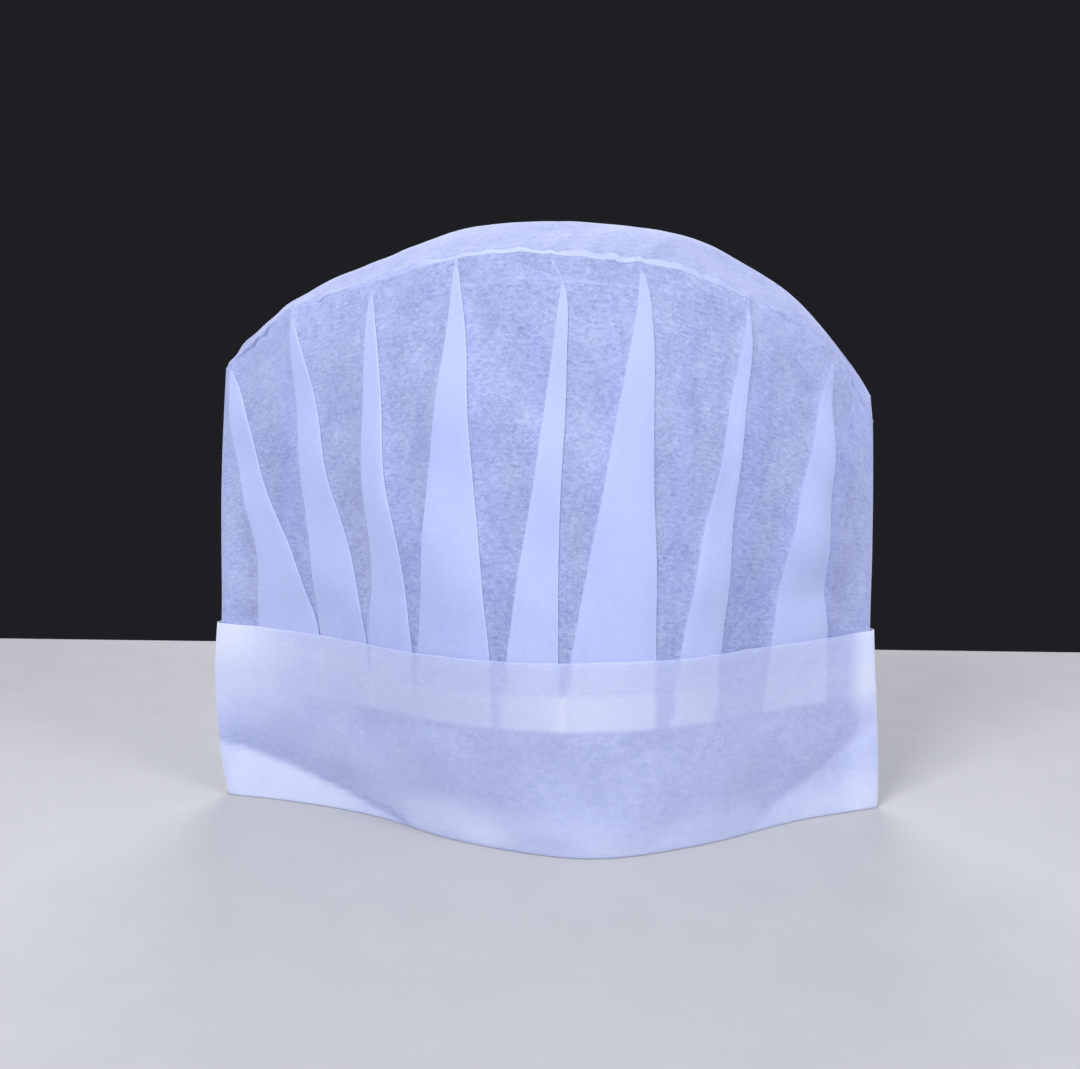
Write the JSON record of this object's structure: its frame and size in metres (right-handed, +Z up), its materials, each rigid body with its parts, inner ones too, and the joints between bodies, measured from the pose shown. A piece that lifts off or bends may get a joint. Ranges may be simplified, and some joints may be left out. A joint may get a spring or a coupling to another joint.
{
  "type": "chef toque",
  "caption": "Disposable pleated chef toque of translucent non-woven cloth with a domed crown, a folded headband and a hook and loop closure at the back.",
  "frame": {"origin": "middle of the head opening, in the plane the headband's bottom edge rests on", "axes": "+Z up to the crown, -Y the front of the hat, +X to the right as one looks at the front; the two side creases lie in the plane y = 0"},
  "size_m": [0.2795, 0.1225, 0.2372],
  "materials": {
    "crown_cloth": "matte translucent non-woven",
    "band_cloth": "matte translucent non-woven",
    "hook_plastic": "woven backing with fine plastic hooks",
    "loop_pile": "brushed loop pile",
    "adhesive": "cured hot-melt"
  },
  "bodies": {
    "hat": {"crown": "crown_cloth", "headband": "band_cloth", "loop_patch": "loop_pile", "outer_glue_line": "adhesive", "inner_glue_line": "adhesive"},
    "closure_tail": {"headband_tail": "band_cloth", "hook_patch": "hook_plastic"}
  },
  "joints": [
    {"name": "tail_peel", "type": "hinge", "parent": "hat", "child": "closure_tail", "pos_m": [-0.03434, 0.05515, 0.0375], "axis": [0, 0, 1], "range_deg": [0, 150]}
  ]
}
